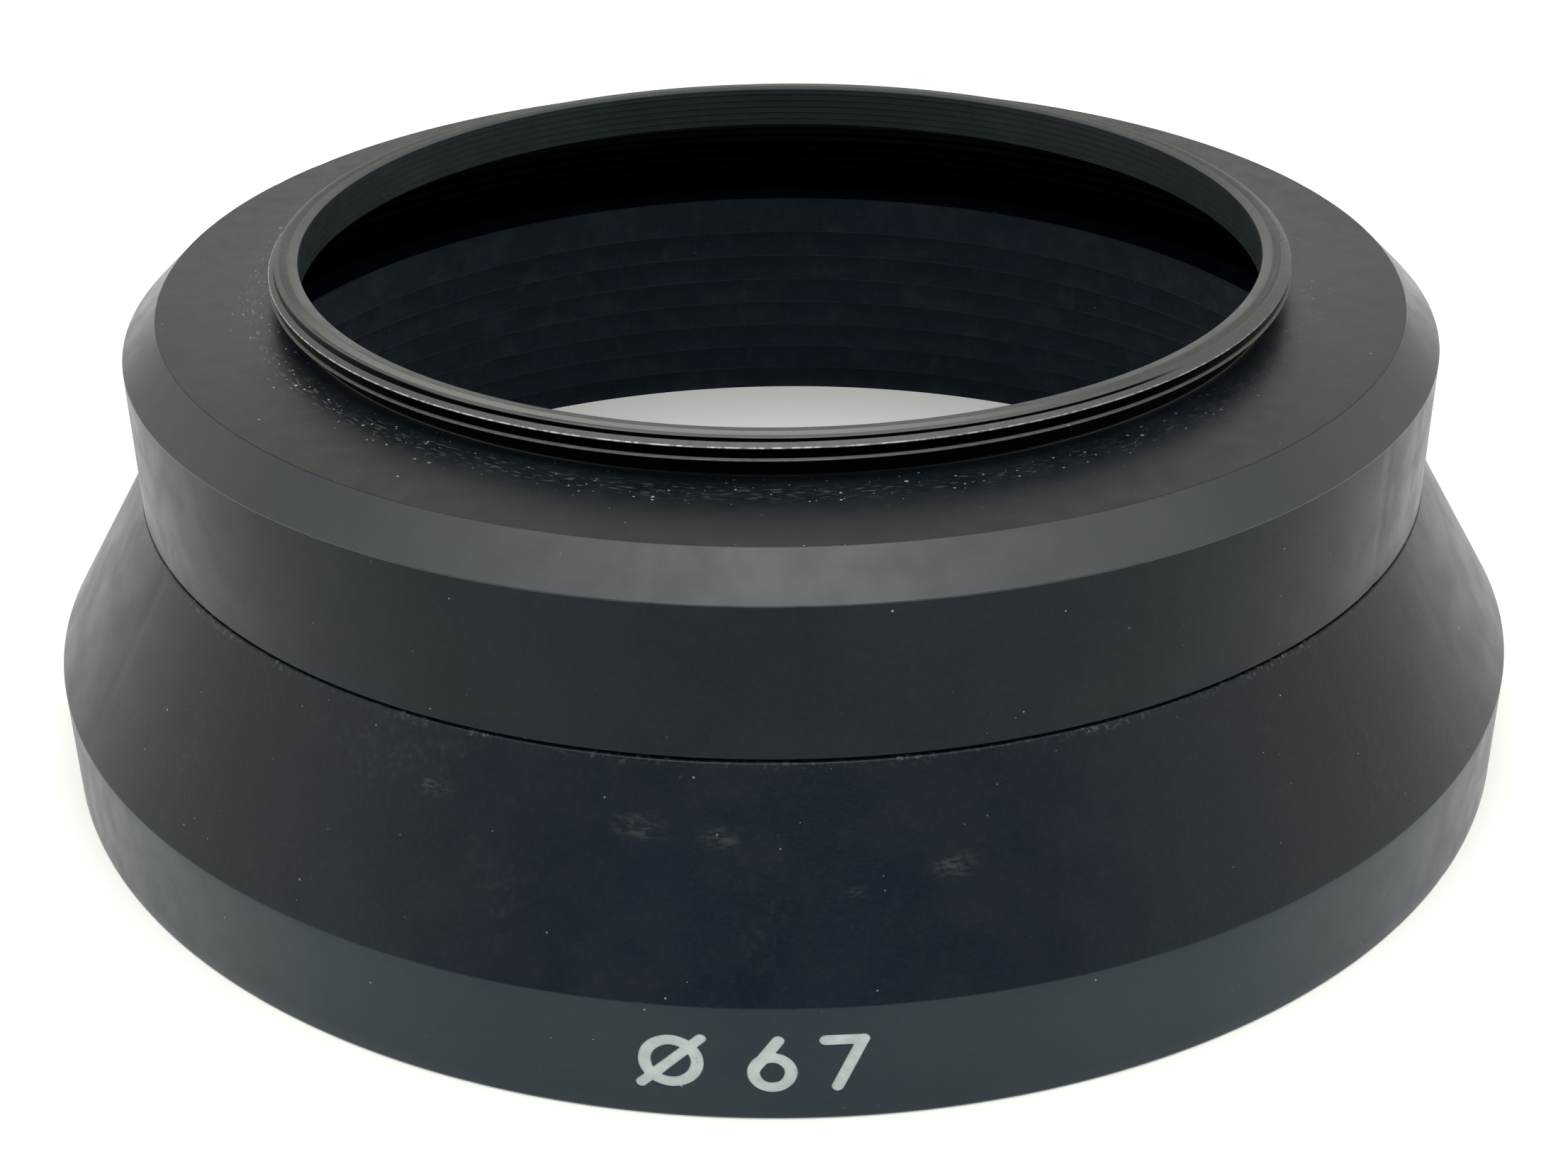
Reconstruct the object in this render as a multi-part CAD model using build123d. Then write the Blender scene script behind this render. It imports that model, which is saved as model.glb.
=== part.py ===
from build123d import *
from math import hypot, radians, tan
import os

# Two-piece screw-in lens hood, turned from aluminium. Millimetres, +Z up.
# The origin is the centre of the front rim, on the plane that the hood stands on.
# The lens would be above, at the threaded collar, and the scene below, in front of the rim.

# Driving dimensions: outside
rim_radius = 49.8
rim_height = 7.6
joint_z = 18.75  # where the ring and the hood meet
band_radius = 43.1  # the ring's outer band, and the top of the cone
band_top_z = 28.25
flange_z = 30.5  # the face that butts against the lens
flange_radius = 40.75
collar_top_z = 33.1
seam_height = 0.2  # shadow gap turned into the ring's lower edge
seam_depth = 0.6
edge_break = 0.12  # small chamfer on turned edges

# Driving dimensions: filter thread M67 x 0.75 on the collar
filter_major_radius = 33.45
filter_pitch = 0.75
filter_crest_z = 32.7  # height of the top full crest at the front
lead_in_width = 0.73  # shallow lead-in chamfer on the collar's top
lead_in_drop = 0.38
relief_height = 1.2  # undercut between the thread and the flange
relief_depth = 0.55  # how much deeper than the thread the undercut is
relief_dish = 0.05  # how far the undercut's floor dips below the flange, inside the thread's radius
root_fillet = 0.12

# Driving dimensions: inside of the ring
collar_bore_top = 31.5
collar_bore_bottom = 31.8
collar_lip_z = 30.1
top_bevel_width = 0.6  # shallow bevel from the collar's top face to its bore
top_bevel_drop = 0.1
baffle_top_z = 32.65
baffle_pitch = 0.5  # fine anti-reflection grooves in the collar
baffle_depth = 0.16
baffle_count = 5

# Driving dimensions: joint thread, nominally 83 x 0.75, between ring and hood
joint_pitch = 0.75
spigot_major_radius = 41.48
joint_clearance = 0.07  # radial, crest to crest, so that the two slide past each other
joint_lead_in = 0.35
spigot_top_z = 21.7
spigot_thread_z = 19.45  # the spigot's thread starts this high, above its solid root
throat_radius = 38.8
female_thread_top_z = 25.6
chamber_top_z = 26.4  # from here the ring's inside tapers to the collar's lip
chamber_depth = 0.62

# Driving dimensions: stepped anti-reflection bore of the hood
step_count = 7
first_step_radius = 39.1
first_step_z = 18.5
step_rise = 2.67
step_run = 1.42
mouth_radius = 48.85
mouth_lip_z = 0.6
mouth_lip_width = 0.15
rim_edge_break = 0.2
throat_edge_break = 0.25
spigot_lead_in = 0.3

# Driving dimensions: paint-filled size mark on the front rim
mark_height = 3.9
mark_stroke = 0.72
mark_depth = 0.15
mark_z = 3.85
mark_x = -1.85
digit_width = 2.75
mark_gap = 1.15
mark_space = 2.3

# Worked out
female_minor_radius = spigot_major_radius + joint_clearance


def thread_depth(pitch):
    """Depth of a 60 degree thread with a flat crest an eighth of the pitch wide."""
    return 0.6134 * pitch


def turned(points, round_corner=None, round_radius=0):
    """A solid of revolution about Z from a closed outline of (radius, height) points.

    round_corner names one of the points, which is rounded off with round_radius.
    """
    outline = make_face(Polyline(*[(r, 0, z) for r, z in points], close=True))
    if round_corner:
        place = Vector(round_corner[0], 0, round_corner[1])
        corner = min(outline.vertices(), key=lambda v: (Vector(v) - place).length)
        outline = fillet(corner, radius=round_radius)
    return revolve(outline, Axis.Z)


def thread_groove(crest_radius, pitch, z_low, z_high, outward, start_turn=0):
    """The helical V groove of a right-hand 60 degree thread, as a solid to cut away.

    The groove starts at z_low, start_turn turns past the -Y side.
    outward is True for a female thread.
    """
    way = 1 if outward else -1
    depth = thread_depth(pitch)
    spill = 0.04  # how far the cutter stands out past the crest
    crest_half = pitch * 7 / 16 + spill * tan(radians(30))
    root_half = pitch * 7 / 16 - depth * tan(radians(30))
    open_radius = crest_radius - way * spill
    root_radius = crest_radius + way * depth
    section = make_face(
        Polyline(
            (open_radius, 0, -crest_half),
            (root_radius, 0, -root_half),
            (root_radius, 0, root_half),
            (open_radius, 0, crest_half),
            close=True,
        )
    )
    path = Helix(pitch, z_high - z_low, crest_radius)
    groove = sweep(section, path=path, is_frenet=True)
    return Pos(0, 0, z_low) * Rot(0, 0, 360 * start_turn - 90) * groove


def collar_bore():
    """Outline of the collar's inside, from the lip up to the top bevel, with fine grooves."""
    slope = (collar_bore_bottom - collar_bore_top) / (collar_top_z - collar_lip_z)
    points = [(collar_bore_bottom, collar_lip_z)]
    for groove in reversed(range(baffle_count)):
        z = baffle_top_z - groove * baffle_pitch
        wall = collar_bore_top + slope * (collar_top_z - z)
        points += [
            (wall + baffle_depth * 0.4, z - baffle_pitch * 0.7),
            (wall + baffle_depth, z - baffle_pitch * 0.15),
            (wall, z),
        ]
    points += [
        (collar_bore_top, collar_top_z - top_bevel_drop),
        (collar_bore_top + top_bevel_width, collar_top_z),
    ]
    return points


def make_adapter_ring():
    """Collar with the filter thread, flat flange, bevel, band and the female joint thread."""
    core_radius = filter_major_radius - thread_depth(filter_pitch) - relief_depth
    relief_top_z = flange_z + relief_height
    seam_z = joint_z + seam_height
    chamber_radius = female_minor_radius + chamber_depth
    joint_bore = [
        (female_minor_radius + joint_lead_in, joint_z),
        (female_minor_radius, joint_z + joint_lead_in),
        (female_minor_radius, female_thread_top_z),
        (chamber_radius, female_thread_top_z + joint_lead_in),
        (chamber_radius, chamber_top_z),
    ]
    collar = [
        (filter_major_radius - lead_in_width, collar_top_z),
        (filter_major_radius, collar_top_z - lead_in_drop),
        (filter_major_radius, relief_top_z),
        (core_radius, relief_top_z),
        (core_radius, flange_z - relief_dish),
        (filter_major_radius + relief_dish, flange_z),
    ]
    band = [
        (flange_radius, flange_z),
        (band_radius, band_top_z),
        (band_radius, seam_z + edge_break),
        (band_radius - edge_break, seam_z),
        (band_radius - seam_depth, seam_z),
        (band_radius - seam_depth, joint_z),
    ]
    outline = joint_bore + collar_bore() + collar + band
    root = (core_radius, flange_z - relief_dish)
    ring = turned(outline, round_corner=root, round_radius=root_fillet)
    # grooves lie half a pitch off the crests, and the first one starts just clear of the flange
    start_turn = 0.1
    ring -= thread_groove(
        filter_major_radius,
        filter_pitch,
        filter_crest_z + (0.5 - 3 + start_turn) * filter_pitch,
        collar_top_z + filter_pitch,
        outward=False,
        start_turn=start_turn,
    )
    ring -= thread_groove(
        female_minor_radius,
        joint_pitch,
        joint_z - joint_pitch / 2,
        female_thread_top_z + joint_pitch / 2,
        outward=True,
    )
    return ring


def stepped_bore():
    """Outline of the hood's inside, from the throat down to the mouth."""
    points = [
        (throat_radius + throat_edge_break, spigot_top_z),
        (throat_radius, spigot_top_z - throat_edge_break),
        (first_step_radius, first_step_z),
    ]
    for step in range(1, step_count + 1):
        radius = min(first_step_radius + step * step_run, mouth_radius)
        ledge_z = first_step_z - (step - 1) * step_rise
        foot_z = ledge_z - step_rise if step < step_count else mouth_lip_z
        points += [(radius, ledge_z), (radius, foot_z)]
    return points


def make_hood_blank():
    """Threaded spigot, shoulder, cone and rim, before the mark is engraved."""
    outside = [
        (mouth_radius + mouth_lip_width, 0),
        (rim_radius - rim_edge_break, 0),
        (rim_radius, rim_edge_break),
        (rim_radius, rim_height),
        (band_radius, joint_z),
        (spigot_major_radius, joint_z),
        (spigot_major_radius, spigot_top_z - spigot_lead_in),
        (spigot_major_radius - spigot_lead_in, spigot_top_z),
    ]
    hood = turned(outside + stepped_bore())
    hood -= thread_groove(
        spigot_major_radius,
        joint_pitch,
        spigot_thread_z,
        spigot_top_z + joint_pitch,
        outward=False,
    )
    return hood


def stroke(start, end, width=mark_stroke):
    """A straight stroke with round ends."""
    length = hypot(end[0] - start[0], end[1] - start[1])
    middle = ((start[0] + end[0]) / 2, (start[1] + end[1]) / 2)
    line = Edge.make_line((start[0], start[1], 0), (end[0], end[1], 0))
    turn = line.tangent_angle_at(0.5)
    return Pos(*middle) * Rot(0, 0, turn) * SlotCenterToCenter(length, width)


def diameter_sign():
    """A ring crossed by a slanted stroke."""
    outer = mark_height * 0.46
    reach = mark_height * 0.42
    ring = Circle(outer) - Circle(outer - mark_stroke)
    return ring + stroke((-reach, -reach), (reach, reach), mark_stroke * 0.9)


def digit_six():
    """Oval bowl below a stroke that leans in from the top."""
    bowl_radius = digit_width / 2
    low = -mark_height / 2 + bowl_radius
    bowl = Pos(0, low) * (Circle(bowl_radius) - Circle(bowl_radius - mark_stroke))
    half = mark_stroke / 2
    back = stroke(
        (-bowl_radius + half + 0.05, low + 0.25),
        (digit_width * 0.12, mark_height / 2 - half),
    )
    return bowl + back


def digit_seven():
    """Top bar and a slanted leg."""
    half = mark_stroke / 2
    top = mark_height / 2 - half
    side = digit_width / 2 - half
    bar = stroke((-side, top), (side, top))
    leg = stroke((side, top), (-side * 0.35, -mark_height / 2 + half))
    return bar + leg


def mark_outline():
    """The generic size mark, a diameter sign and 67, centred on the sketch's origin."""
    sign_width = mark_height * 0.92
    widths = [sign_width, digit_width, digit_width]
    gaps = [mark_space, mark_gap]
    total = sum(widths) + sum(gaps)
    glyphs = [diameter_sign(), digit_six(), digit_seven()]
    left = -total / 2
    placed = []
    for index, glyph in enumerate(glyphs):
        placed.append(Pos(left + widths[index] / 2, 0) * glyph)
        left += widths[index] + (gaps[index] if index < len(gaps) else 0)
    return placed


def mark_cutters():
    """Each glyph pushed through the front of the rim, as deep as the engraving."""
    skin = Cylinder(rim_radius + 1, rim_height * 2) - Cylinder(rim_radius - mark_depth, rim_height * 2)
    facing = Plane(origin=(mark_x, -rim_radius - 1, mark_z), x_dir=(1, 0, 0), z_dir=(0, -1, 0))
    return [extrude(facing * glyph, -4) & skin for glyph in mark_outline()]


def save(solid, name):
    """Write one sub-part to parts/NAME.step."""
    solid.label = name
    export_step(solid, f"parts/{name}.step")
    print(name, "volume", round(solid.volume, 1), "valid", solid.is_valid)


os.makedirs("parts", exist_ok=True)

blank = make_hood_blank()
front_hood = blank
paint = []
for cutter in mark_cutters():
    paint.append(blank & cutter)
    front_hood -= cutter

save(make_adapter_ring(), "adapter_ring")
save(front_hood, "front_hood")
save(Compound(children=[solid for glyph in paint for solid in glyph.solids()]), "size_mark")
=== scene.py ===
import math
import bmesh
import bpy
from mathutils import Matrix, Vector, geometry, noise


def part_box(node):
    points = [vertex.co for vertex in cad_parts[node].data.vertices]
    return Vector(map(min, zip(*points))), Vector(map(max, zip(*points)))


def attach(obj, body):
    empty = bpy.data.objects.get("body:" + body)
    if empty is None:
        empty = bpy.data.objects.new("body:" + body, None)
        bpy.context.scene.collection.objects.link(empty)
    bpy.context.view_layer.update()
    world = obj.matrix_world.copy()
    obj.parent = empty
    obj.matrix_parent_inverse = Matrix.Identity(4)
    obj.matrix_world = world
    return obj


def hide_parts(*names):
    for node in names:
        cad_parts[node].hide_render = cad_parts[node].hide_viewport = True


# A black anodised two-piece lens hood on a white table. Outlines below are in millimetres,
# as (radius, height) points of turned parts, and meshes are made in metres in the CAD frame.
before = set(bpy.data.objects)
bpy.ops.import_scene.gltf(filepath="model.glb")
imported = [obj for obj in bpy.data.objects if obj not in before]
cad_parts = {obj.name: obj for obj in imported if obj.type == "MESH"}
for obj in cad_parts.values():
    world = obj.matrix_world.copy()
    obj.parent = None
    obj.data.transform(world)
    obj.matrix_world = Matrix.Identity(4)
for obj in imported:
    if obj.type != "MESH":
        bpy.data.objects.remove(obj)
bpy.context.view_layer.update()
noise.seed_set(1)  # otherwise vector noise differs from run to run

MM = 0.001
SEGMENTS = 640  # columns around each turned part
EDGE = 0.05  # size of the ring's rounded edges

# Sizes that the CAD boxes give
RING_LOW, RING_HIGH = (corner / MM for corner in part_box("adapter_ring"))
HOOD_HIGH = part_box("front_hood")[1] / MM
BAND_RADIUS = RING_HIGH.x
JOINT_Z = RING_LOW.z
COLLAR_TOP = RING_HIGH.z
RIM_RADIUS = HOOD_HIGH.x
SPIGOT_TOP = HOOD_HIGH.z

# Ring: outside
FLANGE_Z = 30.5
FLANGE_RADIUS = 40.75
BAND_TOP = 28.25
SEAM_HEIGHT = 0.2
SEAM_DEPTH = 0.6

# Ring: filter thread on the collar
PITCH = 0.75
THREAD_DEPTH = 0.48
FILTER_RADIUS = 33.45
FILTER_CREST_Z = 32.63  # the top crest's height at the front
LEAD_IN_WIDTH = 0.73
LEAD_IN_DROP = 0.38
LEAD_IN_CURVE = 0.66  # power of the lead-in's slightly rounded slope; 1 would be straight
RELIEF_TOP = 31.7
CORE_RADIUS = 32.44
RELIEF_DISH = 0.05
RELIEF_FOOT = 0.1  # the undercut's black wall ends this high above the flange
ROOT_FILLET = 0.12

# Ring: inside
COLLAR_BORE_TOP = 31.5
COLLAR_BORE_BOTTOM = 31.8
COLLAR_LIP_Z = 30.1
TOP_BEVEL_WIDTH = 0.6
TOP_BEVEL_DROP = 0.1
BAFFLE_TOP = 32.65
BAFFLE_PITCH = 0.5
BAFFLE_DEPTH = 0.16
BAFFLE_COUNT = 5
CHAMBER_RADIUS = 42.17
CHAMBER_TOP = 26.4
JOINT_MINOR = 41.55
JOINT_THREAD_TOP = 25.6
JOINT_LEAD_IN = 0.35

# Hood
RIM_HEIGHT = 7.6
SPIGOT_RADIUS = 41.48
SPIGOT_THREAD_Z = 19.45
SPIGOT_FOOT = 0.3  # the thread's rows start this high above the shoulder
SPIGOT_LEAD_IN = 0.3
THROAT_RADIUS = 38.8
STEP_COUNT = 7
STEP_RADIUS = 39.1
STEP_Z = 18.5
STEP_RISE = 2.67
STEP_RUN = 1.42
MOUTH_RADIUS = 48.85
MOUTH_LIP_Z = 0.6
MOUTH_LIP_WIDTH = 0.15

# Size mark on the rim
MARK_HEIGHT = 3.9
MARK_STROKE = 0.72
MARK_DEPTH = 0.15
MARK_Z = 3.85
MARK_X = -1.85
DIGIT_WIDTH = 2.75
MARK_GAP = 1.15
MARK_SPACE = 2.3
WOBBLE = 0.02  # unevenness of the strokes' edges
WOBBLE_FINENESS = 2.2  # noise features in a millimetre
MARK_INSET = 0.1  # from each stroke's edge to the second outline, where the paint's top flattens
ARC_STEPS = 8  # of a stroke's round end
CIRCLE_STEPS = 48
PAINT_EDGE_DEPTH = 0.05  # below the rim's surface, at the edge of the paint
PAINT_TOP_DEPTH = 0.015
PAINT_GAP = 0.002  # between the paint's underside and the engraving's floor

# Strip of the rim that is cut into triangles round the mark
STRIP_LOW = 1.1
STRIP_HIGH = 6.7
STRIP_REACH = 6.9  # to each side of the mark's middle

# Worn nicks on sharp edges
NICK_REACH = 0.12  # how near to the edge a point has to be
NICK_DEPTH = 0.16
NICK_SHARE = 0.58  # nicks are where the noise is within this much of 1
NICK_FINENESS = 22  # radius of the circle of noise that is read round an edge


def corner_points(before, corner, after, size, steps=3):
    """Points that round a corner of an outline off, starting size away from it."""
    corner = Vector(corner)
    ways = [Vector(other) - corner for other in (before, after)]
    start, end = (corner + way.normalized() * min(size, way.length * 0.45) for way in ways)
    shares = [step / steps for step in range(steps + 1)]
    return [tuple(start * (1 - t) ** 2 + corner * 2 * t * (1 - t) + end * t**2) for t in shares]


def turned_rows(outline):
    """(material, row) pairs of a closed turned outline; a row is one (radius, height) per column.

    The outline holds (radius, height, corner size) points, lists of thread rows, and names of
    materials. A name counts from the corner before it on.
    """
    corners = [item for item in outline if isinstance(item, tuple)]
    rows, material = [], None
    for item in outline:
        if isinstance(item, str):
            material = item
            if rows:
                rows[-1] = (material, rows[-1][1])
        elif isinstance(item, list):
            rows += [(material, row) for row in item]
        elif item[2]:
            index = corners.index(item)
            before, after = corners[index - 1], corners[(index + 1) % len(corners)]
            for point in corner_points(before[:2], item[:2], after[:2], item[2]):
                rows.append((material, [point] * (SEGMENTS + 1)))
        else:
            rows.append((material, [item[:2]] * (SEGMENTS + 1)))
    return rows


def thread_rows(crest_radius, crest_z, low, high, outward, limit, detail):
    """Rows of a right-hand 60 degree thread from height low to high.

    crest_z is a crest's height at the front. limit(z) gives the lowest and highest radius there,
    for lead-ins and undercuts.
    detail is the number of extra rows on each flank. From 2 up, the root gets 2 * detail - 3 rows too.
    """
    way = 1 if outward else -1
    crest_half = PITCH / 40
    flank = THREAD_DEPTH * math.tan(math.radians(30))
    root_half = PITCH / 2 - crest_half - flank
    turns = [-crest_half, crest_half]
    turns += [crest_half + flank * (n + 1) / (detail + 1) for n in range(detail + 1)]
    turns += [PITCH / 2 + root_half * n / (detail - 1) for n in range(2 - detail, detail - 1)]
    turns += [PITCH - crest_half - flank * (n + 1) / (detail + 1) for n in reversed(range(detail + 1))]

    def radius(z, crest):
        across = abs((z - crest + PITCH / 2) % PITCH - PITCH / 2)
        depth = min(max((across - crest_half) / flank, 0), 1) * THREAD_DEPTH
        lowest, highest = limit(z)
        return min(max(crest_radius + way * depth, lowest), highest)

    rows = []
    first = math.floor((low - crest_z) / PITCH) - 2
    last = math.ceil((high - crest_z) / PITCH) + 2
    for turn in range(first, last):
        for offset in turns:
            row = []
            for column in range(SEGMENTS + 1):
                crest = crest_z + PITCH * (turn + column / SEGMENTS - 0.5)
                z = min(max(crest + offset, low), high)
                row.append((radius(z, crest), z))
            rows.append(row)
    return rows


def place(radius, column, z):
    """The point at a column, which is counted from the back, counter-clockwise seen from above."""
    angle = 2 * math.pi * column / SEGMENTS + math.pi / 2
    return Vector((radius * math.cos(angle), radius * math.sin(angle), z)) * MM


def nick(column, seed):
    """How far a worn edge is knocked back at a column, mostly zero, in millimetres."""
    angle = 2 * math.pi * column / SEGMENTS
    spot = Vector((math.cos(angle) * NICK_FINENESS, math.sin(angle) * NICK_FINENESS, seed))
    return max(0, noise.noise(spot) - 1 + NICK_SHARE) * NICK_DEPTH


def turned_mesh(rows, hole=None, edges=()):
    """A closed turned mesh from (material, row) pairs, and its materials' names.

    hole is (row, first column, last column) of a strip's part that is left open.
    edges are (radius, height) corners that get small nicks.
    """
    mesh = bmesh.new()
    names = list(dict.fromkeys(material for material, row in rows))
    grid = []
    for material, row in rows:
        line = []
        for column, (r, z) in enumerate(row):
            for seed, (edge_r, edge_z) in enumerate(edges):
                if abs(r - edge_r) < NICK_REACH and abs(z - edge_z) < NICK_REACH:
                    r -= nick(column % SEGMENTS, seed)
            line.append(mesh.verts.new(place(r, column, z)))
        grid.append(line)
    for index, line in enumerate(grid):
        above = grid[(index + 1) % len(grid)]
        for column in range(SEGMENTS):
            if hole and index == hole[0] and hole[1] <= column < hole[2]:
                continue
            corners = (line[column], line[column + 1], above[column + 1], above[column])
            mesh.faces.new(corners).material_index = names.index(rows[index][0])
    return mesh, names


def finish_mesh(mesh, name, names, body, replaced):
    """Merge the columns' seam, make the object, shade it and hang it on its body."""
    bmesh.ops.remove_doubles(mesh, verts=mesh.verts, dist=2e-7)
    bmesh.ops.dissolve_degenerate(mesh, edges=mesh.edges, dist=1e-7)
    bmesh.ops.recalc_face_normals(mesh, faces=mesh.faces)
    data = bpy.data.meshes.new(name)
    mesh.to_mesh(data)
    mesh.free()
    for material in names:
        data.materials.append(paints[material])
    data.polygons.foreach_set("use_smooth", [True] * len(data.polygons))
    data.set_sharp_from_angle(angle=math.radians(38))
    piece = bpy.data.objects.new(name, data)
    bpy.context.scene.collection.objects.link(piece)
    normals = piece.modifiers.new("normals", "WEIGHTED_NORMAL")
    normals.keep_sharp = True
    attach(piece, body)
    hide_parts(replaced)


# The ring

def filter_limit(z):
    """Lowest and highest radius of the filter thread at a height, with the lead-in above."""
    share = max(0, COLLAR_TOP - z) / LEAD_IN_DROP
    return 0, FILTER_RADIUS - LEAD_IN_WIDTH + LEAD_IN_WIDTH * share**LEAD_IN_CURVE


def joint_limit(z):
    """Lowest and highest radius of the ring's joint thread: lead-in below, recess above."""
    below = JOINT_MINOR + JOINT_LEAD_IN - (z - JOINT_Z)
    above = JOINT_MINOR + (z - JOINT_THREAD_TOP) * (CHAMBER_RADIUS - JOINT_MINOR) / JOINT_LEAD_IN
    return max(below, above), math.inf


def spigot_limit(z):
    """Lowest and highest radius of the spigot's thread: it runs out below and has a lead-in above."""
    return SPIGOT_RADIUS - max(0, z - SPIGOT_THREAD_Z), SPIGOT_RADIUS - SPIGOT_LEAD_IN + SPIGOT_TOP - z


def baffles():
    """Outline of the collar's fine grooves, from the lowest up."""
    slope = (COLLAR_BORE_BOTTOM - COLLAR_BORE_TOP) / (COLLAR_TOP - COLLAR_LIP_Z)
    outline = []
    for groove in reversed(range(BAFFLE_COUNT)):
        z = BAFFLE_TOP - groove * BAFFLE_PITCH
        wall = COLLAR_BORE_TOP + slope * (COLLAR_TOP - z)
        outline.append((wall + BAFFLE_DEPTH * 0.4, z - BAFFLE_PITCH * 0.7, 0))
        outline.append((wall + BAFFLE_DEPTH, z - BAFFLE_PITCH * 0.15, 0.03))
        outline.append((wall, z, EDGE))
    return outline


def make_ring():
    """Collar, flange, bevel and band, with the joint thread and the recess inside."""
    seam_z = JOINT_Z + SEAM_HEIGHT
    joint = thread_rows(
        JOINT_MINOR, JOINT_Z + 3 * PITCH, JOINT_Z, JOINT_THREAD_TOP + JOINT_LEAD_IN, True, joint_limit, 0
    )
    thread = thread_rows(FILTER_RADIUS, FILTER_CREST_Z, RELIEF_TOP, COLLAR_TOP, False, filter_limit, 3)
    thread.reverse()
    outline = [
        "groove", joint,
        (CHAMBER_RADIUS, CHAMBER_TOP, 0),
        (COLLAR_BORE_BOTTOM, COLLAR_LIP_Z, 0.03),
        "bore", *baffles(),
        (COLLAR_BORE_TOP, COLLAR_TOP - TOP_BEVEL_DROP, EDGE),
        "bevel",
        (COLLAR_BORE_TOP + TOP_BEVEL_WIDTH, COLLAR_TOP, 0.08),
        "collar",
        (FILTER_RADIUS - LEAD_IN_WIDTH, COLLAR_TOP, 0),
        "thread", thread,
        "groove",
        (CORE_RADIUS, RELIEF_TOP, 0),
        (CORE_RADIUS, FLANGE_Z + RELIEF_FOOT, 0),
        "flange",
        (CORE_RADIUS, FLANGE_Z - RELIEF_DISH, ROOT_FILLET),
        (FILTER_RADIUS + RELIEF_DISH, FLANGE_Z, 0),
        (FLANGE_RADIUS, FLANGE_Z, EDGE),
        "bevel",
        (BAND_RADIUS, BAND_TOP, EDGE),
        "band",
        (BAND_RADIUS, seam_z, EDGE),
        (BAND_RADIUS - SEAM_DEPTH, seam_z, 0),
        (BAND_RADIUS - SEAM_DEPTH, JOINT_Z, 0),
    ]
    edges = [(BAND_RADIUS, BAND_TOP), (FLANGE_RADIUS, FLANGE_Z), (BAND_RADIUS, seam_z)]
    mesh, names = turned_mesh(turned_rows(outline), edges=edges)
    finish_mesh(mesh, "ring_turned", names, "ring", "adapter_ring")


# The hood and its mark

def stroke(start, end, width):
    """Outline of a straight stroke with round ends."""
    start, end = Vector(start), Vector(end)
    along = (end - start).normalized() * width / 2
    outline = []
    for middle, first in ((start, math.pi / 2), (end, -math.pi / 2)):
        for step in range(ARC_STEPS + 1):
            turn = Matrix.Rotation(first + math.pi * step / ARC_STEPS, 2)
            outline.append(middle + turn @ along)
    return outline


def circle(middle, radius):
    """Outline of a circle."""
    turns = [2 * math.pi * step / CIRCLE_STEPS for step in range(CIRCLE_STEPS)]
    return [Vector((middle[0] + radius * math.cos(a), middle[1] + radius * math.sin(a))) for a in turns]


def mark_shapes(inset):
    """The diameter sign and 67 as (outline, hole outline or None), strokes narrowed by inset."""
    half = MARK_STROKE / 2
    width = MARK_STROKE - 2 * inset
    top = MARK_HEIGHT / 2 - half
    sign_radius = MARK_HEIGHT * 0.46
    reach = MARK_HEIGHT * 0.42
    bowl = DIGIT_WIDTH / 2
    low = bowl - MARK_HEIGHT / 2
    side = bowl - half
    glyphs = [
        [(circle((0, 0), sign_radius - inset), circle((0, 0), sign_radius - MARK_STROKE + inset)),
         (stroke((-reach, -reach), (reach, reach), MARK_STROKE * 0.9 - 2 * inset), None)],
        [(circle((0, low), bowl - inset), circle((0, low), bowl - MARK_STROKE + inset)),
         (stroke((0.05 - side, low + 0.25), (DIGIT_WIDTH * 0.12, top), width), None)],
        [(stroke((-side, top), (side, top), width), None),
         (stroke((side, top), (-side * 0.35, -top), width), None)],
    ]
    widths = [MARK_HEIGHT * 0.92, DIGIT_WIDTH, DIGIT_WIDTH]
    lefts = [0, widths[0] + MARK_SPACE, widths[0] + MARK_SPACE + DIGIT_WIDTH + MARK_GAP]
    total = lefts[-1] + DIGIT_WIDTH
    shapes = []
    for glyph, left, wide in zip(glyphs, lefts, widths):
        shift = Vector((MARK_X - total / 2 + left + wide / 2, MARK_Z))
        for outline, hole in glyph:
            shapes.append(([p + shift for p in outline], [p + shift for p in hole] if hole else None))
    return shapes


def uneven(point):
    """An outline point moved a little, so that the filled strokes don't look machine-perfect."""
    spot = Vector((point.x * WOBBLE_FINENESS, point.y * WOBBLE_FINENESS, 4))
    return point + noise.noise_vector(spot).xy * WOBBLE


def column_of(x):
    """The column, as a fraction, at which the rim's surface is x millimetres right of its front."""
    return SEGMENTS * (0.5 + math.asin(x / RIM_RADIUS) / (2 * math.pi))


def mark_net(first, last):
    """The rim's patch round the mark cut into triangles along the strokes' outlines.

    first and last are its columns. Returns (points as (column, height), triangles, whether each is
    inside a stroke).
    """
    points, edges, faces, holes = [], [], [], set()
    for column in range(first, last + 1):
        points += [Vector((column, STRIP_LOW)), Vector((column, STRIP_HIGH))]
        corner = len(points) - 2
        edges.append((corner, corner + 1))
        if column < last:
            edges += [(corner, corner + 2), (corner + 1, corner + 3)]
    for inset in (0, MARK_INSET):
        for outline, hole in mark_shapes(inset):
            for shape in (outline, hole):
                if shape:
                    start = len(points)
                    points += [Vector((column_of(p.x), p.y)) for p in map(uneven, shape)]
                    faces.append(list(range(start, len(points))))
                    if shape is hole:
                        holes.add(len(faces) - 1)
    net = geometry.delaunay_2d_cdt(points, edges, faces, 0, 1e-5)
    # net[5] has the shapes that each triangle lies in, and a hole comes right after its outline
    inside = [
        any(n not in holes and (n + 1 not in holes or n + 1 not in covering) for n in covering)
        for covering in net[5]
    ]
    return net[0], net[2], inside


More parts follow.
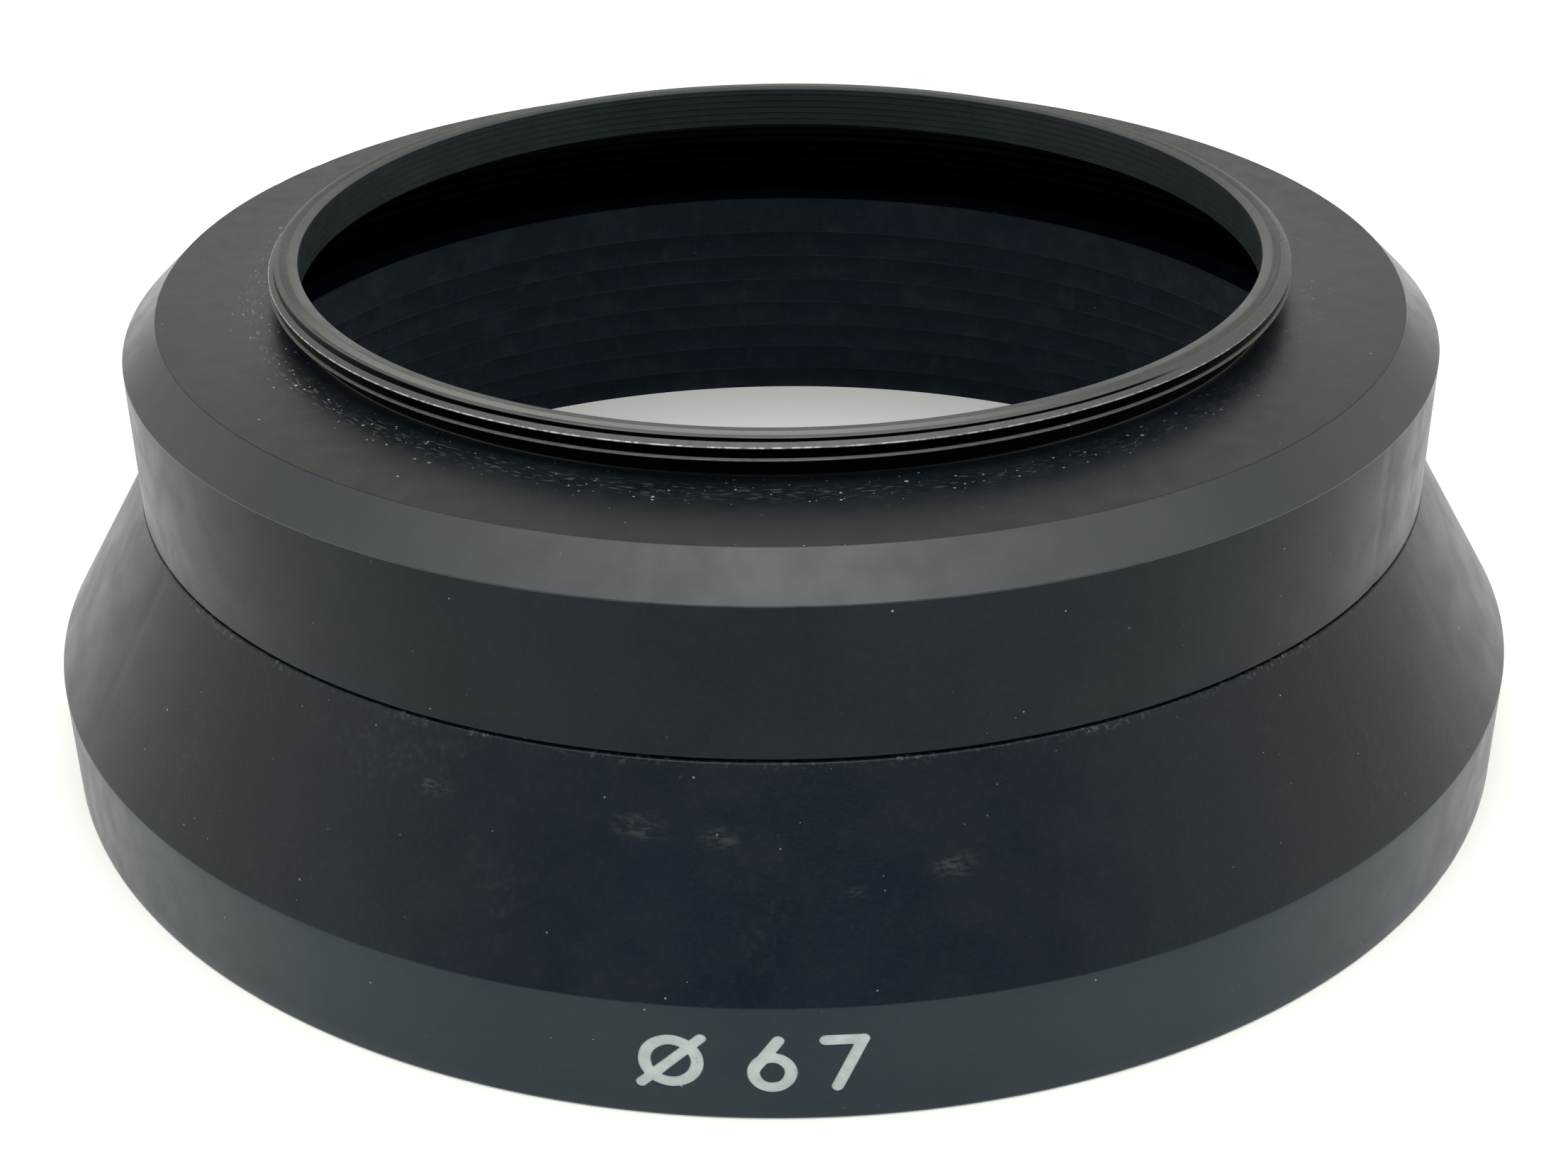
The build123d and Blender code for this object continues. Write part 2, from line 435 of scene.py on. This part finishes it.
def rim_sink(net, depth_of):
    """Vertex maker: net points as places on the rim, sunk by depth_of(point index) millimetres."""
    points = net[0]
    return lambda n: place(RIM_RADIUS - depth_of(n), points[n].x, points[n].y)


def border(net):
    """Edges of the net between a stroke and bare rim."""
    count = {}
    for triangle, painted in zip(net[1], net[2]):
        if painted:
            for a, b in zip(triangle, triangle[1:] + triangle[:1]):
                count[frozenset((a, b))] = count.get(frozenset((a, b)), 0) + 1
    return [tuple(edge) for edge, uses in count.items() if uses == 1]


def engrave(mesh, net, material):
    """Fill the rim's open patch, with the strokes sunk into it."""
    on_surface = rim_sink(net, lambda n: 0)
    on_floor = rim_sink(net, lambda n: MARK_DEPTH)
    surface = {n: mesh.verts.new(on_surface(n)) for n in range(len(net[0]))}
    floor = {}
    for triangle, painted in zip(net[1], net[2]):
        level = surface
        if painted:
            level = floor
            for n in triangle:
                if n not in floor:
                    floor[n] = mesh.verts.new(on_floor(n))
        mesh.faces.new([level[n] for n in triangle]).material_index = material
    for a, b in border(net):
        mesh.faces.new((surface[a], surface[b], floor[b], floor[a])).material_index = material
    loose = [vert for vert in mesh.verts if not vert.link_faces]
    bmesh.ops.delete(mesh, geom=loose, context="VERTS")


def make_paint(net):
    """The mark's paint: slightly domed strokes that fill the engraving."""
    mesh = bmesh.new()
    rim = {n for edge in border(net) for n in edge}
    used = {n for triangle, painted in zip(net[1], net[2]) if painted for n in triangle}
    upper = rim_sink(net, lambda n: PAINT_EDGE_DEPTH if n in rim else PAINT_TOP_DEPTH)
    lower = rim_sink(net, lambda n: MARK_DEPTH - PAINT_GAP)
    top = {n: mesh.verts.new(upper(n)) for n in used}
    bottom = {n: mesh.verts.new(lower(n)) for n in used}
    for triangle, painted in zip(net[1], net[2]):
        if painted:
            mesh.faces.new([top[n] for n in triangle])
            mesh.faces.new([bottom[n] for n in reversed(triangle)])
    for a, b in border(net):
        mesh.faces.new((top[a], top[b], bottom[b], bottom[a]))
    finish_mesh(mesh, "size_mark_paint", ["mark"], "hood", "size_mark")


def make_hood():
    """Threaded spigot, shoulder, cone and rim, with the stepped bore inside, and the mark."""
    crest_z = SPIGOT_THREAD_Z + PITCH / 2
    spigot = thread_rows(
        SPIGOT_RADIUS, crest_z, JOINT_Z + SPIGOT_FOOT, SPIGOT_TOP, False, spigot_limit, 1
    )
    outline = [
        "rim",
        (MOUTH_RADIUS + MOUTH_LIP_WIDTH, 0, 0),
        (RIM_RADIUS, 0, 0.22),
        (RIM_RADIUS, STRIP_LOW, 0),
        (RIM_RADIUS, STRIP_HIGH, 0),
        (RIM_RADIUS, RIM_HEIGHT, 0.06),
        "cone",
        (BAND_RADIUS, JOINT_Z, 0.12),
        (SPIGOT_RADIUS, JOINT_Z, 0),
        "inside", spigot,
        (THROAT_RADIUS, SPIGOT_TOP, 0.3),
        (STEP_RADIUS, STEP_Z, 0.1),
    ]
    for step in range(1, STEP_COUNT + 1):
        radius = min(STEP_RADIUS + step * STEP_RUN, MOUTH_RADIUS)
        top = STEP_Z - (step - 1) * STEP_RISE
        foot = top - STEP_RISE if step < STEP_COUNT else MOUTH_LIP_Z
        outline += [(radius, top, 0.1), (radius, foot, 0.12)]
    rows = turned_rows(outline)
    open_row = next(n for n, (material, row) in enumerate(rows) if row[0] == (RIM_RADIUS, STRIP_LOW))
    first = math.floor(column_of(MARK_X - STRIP_REACH))
    last = math.ceil(column_of(MARK_X + STRIP_REACH))
    edges = [(RIM_RADIUS, RIM_HEIGHT), (BAND_RADIUS, JOINT_Z), (RIM_RADIUS, 0)]
    mesh, names = turned_mesh(rows, (open_row, first, last), edges)
    net = mark_net(first, last)
    engrave(mesh, net, names.index("rim"))
    finish_mesh(mesh, "hood_turned", names, "hood", "front_hood")
    make_paint(net)


# Materials

class Paint:
    """One procedural material, with short calls for its nodes. Lengths given to it are in millimetres."""

    def __init__(self, name, **shader):
        self.material = bpy.data.materials.new(name)
        self.material.use_nodes = True
        self.tree = self.material.node_tree
        self.shader = self.tree.nodes["Principled BSDF"]
        for socket, value in shader.items():
            self.shader.inputs[socket.replace("_", " ")].default_value = value
        here = self.node("TexCoord").outputs["Object"]
        self.here = self.node("VectorMath", {0: here, 1: (1 / MM,) * 3}, operation="MULTIPLY").outputs[0]
        split = self.node("SeparateXYZ", {0: self.here})
        self.x, self.y, self.z = split.outputs
        squares = self.times(self.x, self.x), self.times(self.y, self.y)
        self.r = self.math("SQRT", self.math("ADD", *squares))

    def node(self, kind, inputs=None, **settings):
        """A new node; inputs are linked where they are sockets, and set where they are values."""
        made = self.tree.nodes.new("ShaderNode" + kind)
        for name, value in settings.items():
            setattr(made, name, value)
        for name, value in (inputs or {}).items():
            if isinstance(value, bpy.types.NodeSocket):
                self.tree.links.new(value, made.inputs[name])
            else:
                made.inputs[name].default_value = value
        return made

    def math(self, operation, a, b=0.0, clamp=False):
        """The result of one operation on a and b."""
        return self.node("Math", {0: a, 1: b}, operation=operation, use_clamp=clamp).outputs[0]

    def times(self, total, *others):
        """All the values multiplied."""
        for value in others:
            total = self.math("MULTIPLY", total, value)
        return total

    def most(self, total, *others):
        """The highest of the values."""
        for value in others:
            total = self.math("MAXIMUM", total, value)
        return total

    def noise(self, size, detail=2.0, vector=None):
        """Noise with features about size across."""
        inputs = {"Vector": vector or self.here, "Scale": 1 / size, "Detail": detail}
        return self.node("TexNoise", inputs).outputs["Fac"]

    def ramp(self, value, low, high, start=0.0, end=1.0):
        """Smooth step from start to end as value goes from low to high."""
        inputs = {"Value": value, "From Min": low, "From Max": high, "To Min": start, "To Max": end}
        return self.node("MapRange", inputs, interpolation_type="SMOOTHSTEP").outputs[0]

    def near(self, value, middle, reach):
        """1 where value is at middle, falling to 0 at reach from it."""
        away = self.math("ABSOLUTE", self.math("SUBTRACT", value, middle))
        return self.ramp(away, 0, reach, 1, 0)

    def mix(self, share, a, b):
        """Colour a turning to b as share goes from 0 to 1."""
        made = self.node("Mix", data_type="RGBA")
        for index, value in ((0, share), (6, a), (7, b)):
            if isinstance(value, bpy.types.NodeSocket):
                self.tree.links.new(value, made.inputs[index])
            else:
                made.inputs[index].default_value = (*value, 1) if index else value
        return made.outputs[2]

    def specks(self, spacing, size, stretch=(1, 1, 1), turn=(0, 0, 0)):
        """1 inside small scattered specks, up to size across, one in each cell of about spacing."""
        inputs = {"Vector": self.here, "Rotation": turn, "Scale": stretch}
        vector = self.node("Mapping", inputs).outputs[0]
        cells = self.node("TexVoronoi", {"Vector": vector, "Scale": 1 / spacing})
        draw = self.node("SeparateColor", {0: cells.outputs["Color"]}).outputs[0]
        limit = self.times(draw, size / spacing / 2)
        inside = self.math("SUBTRACT", limit, cells.outputs["Distance"])
        return self.math("MULTIPLY", inside, spacing / size * 8, clamp=True)

    def squeezed(self, scale):
        """The point's coordinates, stretched along each axis."""
        return self.node("VectorMath", {0: self.here, 1: scale}, operation="MULTIPLY").outputs[0]

    def bump(self, height, depth, below=None):
        """Relief of the given depth where height goes from 0 to 1."""
        inputs = {"Height": height, "Distance": depth * MM, "Strength": 1.0}
        if below:
            inputs["Normal"] = below
        return self.node("Bump", inputs).outputs[0]

    def lines(self, size):
        """Fine turning lines round the axis, about size apart."""
        drift = self.times(self.math("ADD", self.x, self.y), 0.01)
        vector = self.node("CombineXYZ", {0: self.r, 1: self.z, 2: drift}).outputs[0]
        return self.noise(size, 3.0, vector)

    def finish(self, colour, roughness, normal, metallic=None):
        """Link the results to the shader and hand the material over."""
        links = {"Base Color": colour, "Roughness": roughness, "Normal": normal, "Metallic": metallic}
        for name, value in links.items():
            if value is not None:
                self.tree.links.new(value, self.shader.inputs[name])
        return self.material

    def turn_tangent(self):
        """Stretch highlights across the turning lines."""
        tangent = self.node("Tangent", direction_type="RADIAL", axis="Z").outputs[0]
        self.tree.links.new(tangent, self.shader.inputs["Tangent"])
        self.shader.inputs["Anisotropic Rotation"].default_value = 0.25


DUST = (0.42, 0.43, 0.40)
DUST_RING = 34.6  # radius of the dust that lies round the collar's root

# Rubbed patches on the cone's front: x, height and reach
RUBBED = [(-7.9, 15.6, 2.0), (-3.5, 15.3, 1.6), (9.0, 13.6, 1.8), (-19.3, 15.8, 1.4), (3.8, 12.8, 0.8)]

# Soft lights of the room: azimuth from the front, mirrored left and right, elevation and strength
LOW_GLOWS = [
    (70, 10, 1.1), (105, 10, 1.0), (140, 10, 0.3), (180, 10, 0.9),
    (45, 38, 0.4), (135, 38, 0.35), (180, 38, 0.4),
]
HIGH_GLOWS = [(0, 64, 3.2), (90, 64, 2.0)]
GLOW_FOCUS = 14  # the higher, the faster a glow fades away from its middle
LOW_TINT = (1.0, 0.99, 0.89, 1)
HIGH_TINT = (0.99, 1.0, 0.97, 1)

# Table and camera
TABLE_REACH = 2  # metres from the middle to each side
TABLE_GAP = 0.00002  # metres below the hood's foot, so that the two surfaces don't coincide
EYE = (0, -2.958, 1.735)  # the camera's place, in rim radii
EYE_ANGLES = (28.70, 0.02, -0.57)  # pitch down, yaw and roll, in degrees
SENSOR_WIDTH = 36
FOCAL_RATIO = 3290 / 2212  # focal length over the picture's width


def dusted(paint, colour, spacing, size):
    """Colour with pale dust specks of uneven brightness, a few short fibres and a faint haze."""
    haze = paint.ramp(paint.noise(6, 4.0), 0.45, 0.8, 0, 0.006)
    colour = paint.mix(haze, colour, DUST)
    grain = paint.ramp(paint.noise(0.35, 4.0), 0.4, 0.8, 0, 0.008)
    colour = paint.mix(grain, colour, DUST)
    specks = paint.specks(spacing, size)
    small = paint.specks(spacing * 0.55, size * 0.5)
    fibres = paint.specks(spacing * 2.4, size * 1.3, (1, 0.16, 1), (0.5, 0.9, 0.3))
    both = paint.most(specks, small, paint.times(fibres, 0.5))
    bright = paint.ramp(paint.noise(spacing * 0.6, 1.0), 0.3, 0.7, 0.12, 0.85)
    return paint.mix(paint.times(both, bright), colour, DUST)


def anodised(name, dark, light, **shader):
    """Black anodised aluminium: even satin grain, faint turning lines, patchy tone and dust."""
    paint = Paint(name, **shader)
    paint.turn_tangent()
    colour = paint.mix(paint.ramp(paint.noise(9, 4.0), 0.3, 0.7), dark, light)
    colour = dusted(paint, colour, 1.9, 0.17)
    roughness = paint.ramp(paint.noise(2.2, 5.0), 0.25, 0.75, 0.28, 0.37)
    grain = paint.bump(paint.noise(0.11), 0.004)
    return paint.finish(colour, roughness, paint.bump(paint.lines(0.09), 0.002, grain))


def collar_paint():
    """The collar's top face, with the anodising rubbed thin, and a painted highlight: pale colour mixed
    in over its front, where the light falls.
    """
    paint = Paint("collar_worn_painted_highlight", Anisotropic=1.0, IOR=2.1)
    paint.turn_tangent()
    rubbed = paint.ramp(paint.noise(0.5, 5.0), 0.4, 0.75)
    colour = paint.mix(rubbed, (0.012, 0.017, 0.016), (0.03, 0.035, 0.033))
    # Painted highlight: the front of the collar's top, outside its inner edge, is lightened towards the
    # pale dust colour.
    front = paint.ramp(paint.math("ADD", paint.y, paint.times(paint.x, 0.35)), -33, -20, 0.3, 0)
    colour = paint.mix(paint.times(front, paint.ramp(paint.r, 31.9, 32.2)), colour, DUST)
    colour = dusted(paint, colour, 2.0, 0.2)
    roughness = paint.ramp(paint.lines(0.08), 0.3, 0.7, 0.5, 0.6)
    return paint.finish(colour, roughness, paint.bump(paint.lines(0.06), 0.002))


def thread_root_shade(paint):
    """Mask of painted shade: 1 deep in the filter thread's grooves, where no light gets, and 0 on its
    crests and the lead-in.

    A root lies inside the uncut lead-in, and deeper than least, which is more near the top.
    """
    drop = paint.most(paint.math("SUBTRACT", COLLAR_TOP, paint.z), 0.0)
    share = paint.math("POWER", paint.times(drop, 1 / LEAD_IN_DROP), LEAD_IN_CURVE)
    lead_in = paint.math("ADD", paint.times(share, LEAD_IN_WIDTH), FILTER_RADIUS - LEAD_IN_WIDTH)
    cut = paint.math("SUBTRACT", paint.math("MINIMUM", lead_in, FILTER_RADIUS), paint.r)
    least = paint.ramp(paint.z, FILTER_CREST_Z - 0.15, FILTER_CREST_Z - 0.05, 0.13, 0.34)
    depth = paint.math("SUBTRACT", paint.math("SUBTRACT", FILTER_RADIUS, paint.r), least)
    return paint.times(paint.ramp(cut, 0.02, 0.05), paint.ramp(depth, 0, 0.03))


def thread_paint():
    """The filter thread: satin flanks, grooves painted black as shade, bright uneven metal where the
    crests have worn.
    """
    paint = Paint("thread_worn", Anisotropic=0.9, IOR=2.0)
    paint.turn_tangent()
    crest = paint.ramp(paint.r, FILTER_RADIUS - 0.07, FILTER_RADIUS - 0.02)
    top = paint.ramp(paint.z, FILTER_CREST_Z - 0.65, FILTER_CREST_Z - 0.2, 0.12, 1)
    patchy = paint.ramp(paint.noise(0.35, 4.0), 0.38, 0.6, 0.2, 1)
    side = paint.ramp(paint.x, -5, 20, 1, 0.5)
    worn = paint.times(crest, patchy, paint.times(top, side))
    colour = paint.mix(worn, (0.020, 0.026, 0.026), (0.75, 0.76, 0.72))
    # Painted shade: the thread's grooves get a near-black colour and full metallic, so that they reflect
    # almost nothing.
    root_shade = thread_root_shade(paint)
    colour = paint.mix(root_shade, dusted(paint, colour, 1.6, 0.18), (0.0004, 0.0008, 0.0012))
    roughness = paint.ramp(paint.noise(0.3, 3.0), 0.3, 0.7, 0.4, 0.5)
    normal = paint.bump(paint.noise(0.1), 0.003)
    return paint.finish(colour, roughness, normal, paint.most(worn, root_shade))


def groove_shade_paint():
    """The undercut and the ring's recess: painted shade, a near-black colour with little specular."""
    paint = Paint("groove_painted_shade", Specular_IOR_Level=0.05)
    patches = paint.ramp(paint.noise(0.4, 4.0), 0.3, 0.7)
    # Painted shade: near-black colour in the undercut and the recess.
    colour = paint.mix(patches, (0.0002, 0.0006, 0.001), (0.0008, 0.0014, 0.002))
    roughness = paint.ramp(paint.noise(0.3, 3.0), 0.3, 0.7, 0.5, 0.65)
    return paint.finish(colour, roughness, paint.bump(paint.noise(0.1), 0.003))


def flange_paint():
    """The flange: satin black, with streaks and specks of dust round the collar's root."""
    paint = Paint("flange_satin", Anisotropic=0.7, IOR=1.5)
    paint.turn_tangent()
    patches = paint.ramp(paint.noise(7, 4.0), 0.3, 0.7)
    colour = dusted(paint, paint.mix(patches, (0.001, 0.005, 0.009), (0.003, 0.007, 0.012)), 1.5, 0.18)
    arc = paint.times(paint.math("ARCTAN2", paint.y, paint.x), 35)
    along = paint.node("CombineXYZ", {0: paint.times(paint.r, 5), 1: arc, 2: paint.z}).outputs[0]
    streaks = paint.ramp(paint.noise(0.9, 6.0, along), 0.54, 0.7)
    left = paint.ramp(paint.math("ADD", paint.x, paint.y), -50, 15, 1.0, 0.2)
    film = paint.times(streaks, paint.near(paint.r, DUST_RING, 1.4))
    spots = paint.most(paint.specks(0.5, 0.16), paint.specks(0.85, 0.26))
    spread = paint.ramp(paint.near(paint.r, DUST_RING, 2.4), 0.05, 0.7)
    settled = paint.most(paint.times(film, 0.2), paint.times(spots, spread))
    colour = paint.mix(paint.times(settled, left), colour, DUST)
    roughness = paint.ramp(paint.noise(1.8, 5.0), 0.25, 0.75, 0.28, 0.36)
    normal = paint.bump(paint.lines(0.1), 0.002, paint.bump(paint.noise(0.16), 0.005))
    return paint.finish(colour, roughness, normal)


def rub_marks(paint):
    """Share of dust on the cone's few rubbed patches."""
    marks = None
    for x, z, reach in RUBBED:
        away = paint.math("ABSOLUTE", paint.math("SUBTRACT", paint.x, x))
        patch = paint.times(paint.ramp(away, 0, reach, 1, 0), paint.near(paint.z, z, reach * 0.45))
        marks = paint.most(marks, patch) if marks else patch
    streaks = paint.ramp(paint.noise(0.3, 6.0, paint.squeezed((0.5, 1, 1.6))), 0.42, 0.66)
    front = paint.ramp(paint.y, -38, -36, 0.08, 0)
    return paint.times(marks, streaks, front)


def cone_paint():
    """The cone: matte black, with a base colour darker than the rim's as painted shade, rubbed smudges
    and more dust.
    """
    paint = Paint("cone_matte_shaded_copy", Anisotropic=0.2, IOR=1.34)
    paint.turn_tangent()
    patches = paint.ramp(paint.noise(11, 5.0), 0.3, 0.7)
    # Painted shade: the cone's base colours are darker than the rim's, on the same black finish.
    colour = paint.mix(patches, (0.001, 0.006, 0.013), (0.003, 0.008, 0.016))
    places = paint.ramp(paint.noise(7, 2.0), 0.55, 0.75)
    smudge = paint.ramp(paint.noise(0.5, 8.0), 0.45, 0.75)
    colour = paint.mix(paint.times(places, smudge, 0.025), colour, DUST)
    colour = paint.mix(rub_marks(paint), colour, DUST)
    fine = paint.times(paint.near(paint.z, JOINT_Z, 0.5), paint.ramp(paint.noise(0.3, 6.0), 0.5, 0.7))
    edge = paint.times(fine, paint.ramp(paint.noise(3.5, 3.0), 0.4, 0.7, 0.02, 0.2))
    colour = dusted(paint, paint.mix(edge, colour, DUST), 1.6, 0.16)
    roughness = paint.ramp(paint.noise(3, 5.0), 0.25, 0.75, 0.3, 0.38)
    grain = paint.bump(paint.noise(0.18, 3.0), 0.010)
    return paint.finish(colour, roughness, paint.bump(paint.lines(0.12), 0.002, grain))


def inside_paint(name, dark, light, **shader):
    """Deep matte black of the collar's bore and the stepped bore."""
    paint = Paint(name, **shader)
    colour = paint.mix(paint.ramp(paint.noise(5, 4.0), 0.35, 0.7), dark, light)
    settled = paint.ramp(paint.noise(2.5, 5.0), 0.5, 0.75, 0, 0.012)
    colour = dusted(paint, paint.mix(settled, colour, DUST), 3.0, 0.2)
    roughness = paint.ramp(paint.noise(0.8, 4.0), 0.3, 0.7, 0.5, 0.62)
    normal = paint.bump(paint.lines(0.14), 0.004, paint.bump(paint.noise(0.13), 0.005))
    return paint.finish(colour, roughness, normal)


def white_paint():
    """The mark's cool white filler paint, slightly uneven, with small grey stains."""
    paint = Paint("mark_white", Specular_IOR_Level=0.4)
    patches = paint.ramp(paint.noise(0.8, 4.0), 0.3, 0.75)
    stains = paint.ramp(paint.noise(0.25, 3.0), 0.66, 0.74, 0, 0.4)
    colour = paint.mix(patches, (0.40, 0.47, 0.47), (0.50, 0.57, 0.56))
    colour = paint.mix(stains, colour, (0.12, 0.14, 0.14))
    roughness = paint.ramp(paint.noise(0.5, 3.0), 0.3, 0.7, 0.5, 0.65)
    return paint.finish(colour, roughness, paint.bump(paint.noise(0.22, 3.0), 0.01))


def glowing_floor_paint():
    """A pale table top with a very faint texture, which glows: painted light that brightens the table
    where the hood shades it and lights the hood from below.
    """
    # Painted light: the table top glows with a faint emission, though it is no lamp.
    paint = Paint("pale_table_glowing", Specular_IOR_Level=0.2, Emission_Strength=0.29)
    paint.shader.inputs["Emission Color"].default_value = (0.98, 1.0, 0.95, 1)
    patches = paint.ramp(paint.noise(60, 4.0), 0.3, 0.7)
    colour = paint.mix(patches, (0.88, 0.88, 0.87), (0.90, 0.90, 0.89))
    roughness = paint.ramp(paint.noise(8, 3.0), 0.3, 0.7, 0.75, 0.85)
    return paint.finish(colour, roughness, paint.bump(paint.noise(0.9, 3.0), 0.01))


# Stage, light and camera

def make_floor():
    """A wide pale table top at the height that the hood stands on."""
    mesh = bmesh.new()
    corners = [(-1, -1), (1, -1), (1, 1), (-1, 1)]
    mesh.faces.new([mesh.verts.new((x * TABLE_REACH, y * TABLE_REACH, -TABLE_GAP)) for x, y in corners])
    data = bpy.data.meshes.new("table_top")
    mesh.to_mesh(data)
    mesh.free()
    data.materials.append(glowing_floor_paint())
    table_top = bpy.data.objects.new("table_top", data)
    bpy.context.scene.collection.objects.link(table_top)


def soft_glow(tree, facing, azimuth, elevation, strength):
    """Brightness of a wide soft light in the room at a direction, brightest at its middle."""
    turn, height = math.radians(azimuth), math.radians(elevation)
    middle = (math.sin(turn) * math.cos(height), -math.cos(turn) * math.cos(height), math.sin(height))
    near = tree.nodes.new("ShaderNodeVectorMath")
    near.operation = "DOT_PRODUCT"
    near.inputs[1].default_value = middle
    tree.links.new(facing, near.inputs[0])
    socket = near.outputs["Value"]
    steps = (("SUBTRACT", 1), ("MULTIPLY", GLOW_FOCUS), ("EXPONENT", 0), ("MULTIPLY", strength))
    for operation, amount in steps:
        step = tree.nodes.new("ShaderNodeMath")
        step.operation = operation
        step.inputs[1].default_value = amount
        tree.links.new(socket, step.inputs[0])
        socket = step.outputs[0]
    return socket


def glow_shader(tree, glows, tint):
    """A background shader of all the given glows and their mirror images, in one tint."""
    facing = tree.nodes.new("ShaderNodeTexCoord").outputs["Generated"]
    total = None
    for azimuth, elevation, strength in glows:
        for side in (azimuth, -azimuth) if azimuth % 180 else (azimuth,):
            glow = soft_glow(tree, facing, side, elevation, strength)
            if total:
                both = tree.nodes.new("ShaderNodeMath")
                tree.links.new(total, both.inputs[0])
                tree.links.new(glow, both.inputs[1])
                glow = both.outputs[0]
            total = glow
    shader = tree.nodes.new("ShaderNodeBackground")
    shader.inputs["Color"].default_value = tint
    tree.links.new(total, shader.inputs["Strength"])
    return shader


def make_light():
    """A pale studio: soft light from above, the sides and the back, dark towards the viewer.

    The camera itself sees plain white beyond the table.
    """
    world = bpy.data.worlds.new("studio")
    world.use_nodes = True
    tree = world.node_tree
    room = tree.nodes.new("ShaderNodeAddShader")
    tree.links.new(glow_shader(tree, LOW_GLOWS, LOW_TINT).outputs[0], room.inputs[0])
    tree.links.new(glow_shader(tree, HIGH_GLOWS, HIGH_TINT).outputs[0], room.inputs[1])
    choice = tree.nodes.new("ShaderNodeMixShader")
    tree.links.new(tree.nodes.new("ShaderNodeLightPath").outputs["Is Camera Ray"], choice.inputs[0])
    tree.links.new(room.outputs[0], choice.inputs[1])
    plain = tree.nodes["Background"]
    plain.inputs["Color"].default_value = (1, 1, 1, 1)
    tree.links.new(plain.outputs[0], choice.inputs[2])
    tree.links.new(choice.outputs[0], tree.nodes["World Output"].inputs["Surface"])
    bpy.context.scene.world = world
    bpy.context.scene.view_settings.view_transform = "Standard"


def make_camera():
    """The photograph's viewpoint: a little above the hood, looking down at it."""
    pitch, yaw, roll = map(math.radians, EYE_ANGLES)
    ahead = Vector((math.sin(yaw) * math.cos(pitch), math.cos(yaw) * math.cos(pitch), -math.sin(pitch)))
    level = Vector((math.cos(yaw), -math.sin(yaw), 0))
    up = level.cross(ahead)
    right = level * math.cos(roll) + up * math.sin(roll)
    top = up * math.cos(roll) - level * math.sin(roll)
    data = bpy.data.cameras.new("viewpoint")
    data.sensor_width = SENSOR_WIDTH
    data.lens = SENSOR_WIDTH * FOCAL_RATIO
    data.clip_start = 0.005
    camera = bpy.data.objects.new("viewpoint", data)
    turn = Matrix((right, top, -ahead)).transposed().to_4x4()
    camera.matrix_world = Matrix.Translation(Vector(EYE) * RIM_RADIUS * MM) @ turn
    bpy.context.scene.collection.objects.link(camera)
    bpy.context.scene.camera = camera


paints = {
    # The band, bevel and rim are one black anodised finish in lit and shaded copies: their base colours
    # and IOR are set apart by how bright each part looks, lighter on the bevel and rim as painted light
    # and darker on the band as painted shade.
    "band": anodised(
        "band_satin_shaded_copy", (0.0005, 0.006, 0.012), (0.002, 0.008, 0.014), Anisotropic=0.3, IOR=1.27
    ),
    "bevel": anodised(
        "bevel_satin_lit_copy", (0.004, 0.012, 0.018), (0.008, 0.016, 0.022), Anisotropic=0.75, IOR=1.66
    ),
    "rim": anodised(
        "rim_satin_lit_copy", (0.002, 0.014, 0.024), (0.006, 0.018, 0.028), Anisotropic=0.2, IOR=1.35
    ),
    "flange": flange_paint(),
    "collar": collar_paint(),
    "thread": thread_paint(),
    "groove": groove_shade_paint(),
    "cone": cone_paint(),
    "inside": inside_paint(
        "inside_black", (0.0005, 0.007, 0.016), (0.002, 0.010, 0.020), Specular_IOR_Level=0.12
    ),
    "bore": inside_paint(
        "bore_black", (0.003, 0.011, 0.014), (0.005, 0.014, 0.017), Specular_IOR_Level=0.3
    ),
    "mark": white_paint(),
}
make_ring()
make_hood()
make_floor()
make_light()
make_camera()
